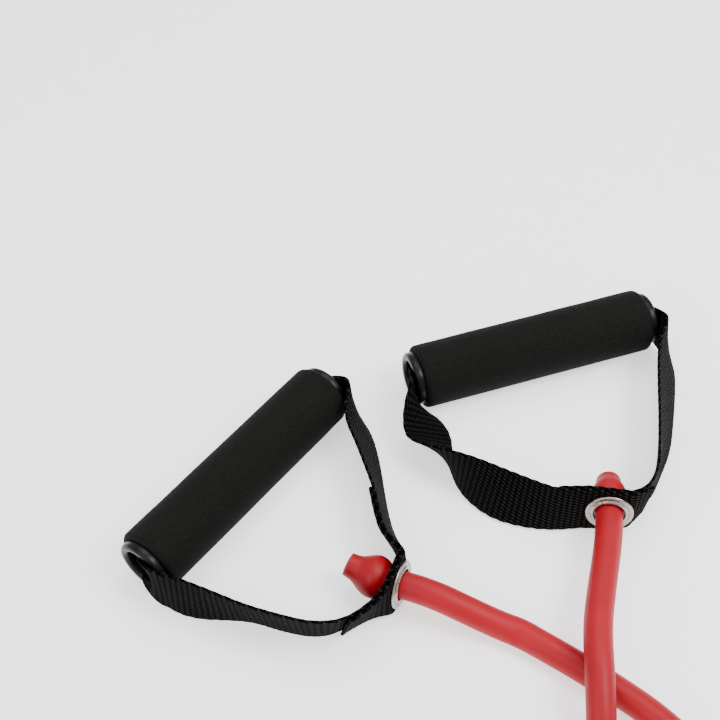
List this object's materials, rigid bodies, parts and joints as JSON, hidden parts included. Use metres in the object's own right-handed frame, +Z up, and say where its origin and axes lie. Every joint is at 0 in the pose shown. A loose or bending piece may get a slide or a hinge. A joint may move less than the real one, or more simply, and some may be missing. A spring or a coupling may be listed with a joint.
{
  "type": "resistance band",
  "caption": "Red rubber resistance tube with a foam-covered grip in a webbing hand loop at each end, laid out loose on a flat surface.",
  "frame": {"origin": "on the floor, under the middle of the box round the two handles", "axes": "+Z up; the tube leaves both handles towards -Y, where its two loose turns lie; +X to the right of someone looking along +Y"},
  "size_m": [0.2772, 0.413, 0.032],
  "materials": {
    "red_rubber": "satin-matt latex rubber with a faint bloom",
    "grip_foam": "matt closed-cell foam with a fine grain",
    "core_plastic": "moulded",
    "cap_plastic": "glossy moulded",
    "webbing": "coarse flat-woven polypropylene",
    "eyelet_metal": "nickel-plated, lightly brushed",
    "ball_plastic": "plain"
  },
  "bodies": {
    "band": {"resistance_tube": "red_rubber", "stopper_ball_a": "ball_plastic", "stopper_ball_b": "ball_plastic"},
    "hand_loop_a": {"webbing_strap_a": "webbing", "eyelet_a": "eyelet_metal", "eyelet_washer_a": "eyelet_metal"},
    "grip_a": {"foam_grip_a": "grip_foam", "grip_core_a": "core_plastic", "end_cap_left_a": "cap_plastic", "end_cap_right_a": "cap_plastic"},
    "hand_loop_b": {"webbing_strap_b": "webbing", "eyelet_b": "eyelet_metal", "eyelet_washer_b": "eyelet_metal"},
    "grip_b": {"foam_grip_b": "grip_foam", "grip_core_b": "core_plastic", "end_cap_left_b": "cap_plastic", "end_cap_right_b": "cap_plastic"}
  },
  "joints": [
    {"name": "loop_swivel_a", "type": "hinge", "parent": "band", "child": "hand_loop_a", "pos_m": [-0.0107, -0.0711, 0.0143], "axis": [0.9212, -0.3722, 0.1132], "continuous": true},
    {"name": "grip_spin_a", "type": "hinge", "parent": "hand_loop_a", "child": "grip_a", "pos_m": [-0.0835, -0.0136, 0.016], "axis": [0.6184, 0.7859, 0], "continuous": true},
    {"name": "loop_swivel_b", "type": "hinge", "parent": "band", "child": "hand_loop_b", "pos_m": [0.0874, -0.0327, 0.0143], "axis": [-0.1383, -0.9839, 0.1132], "continuous": true},
    {"name": "grip_spin_b", "type": "hinge", "parent": "hand_loop_b", "child": "grip_b", "pos_m": [0.0597, 0.0636, 0.016], "axis": [0.9489, 0.3156, 0], "continuous": true}
  ]
}
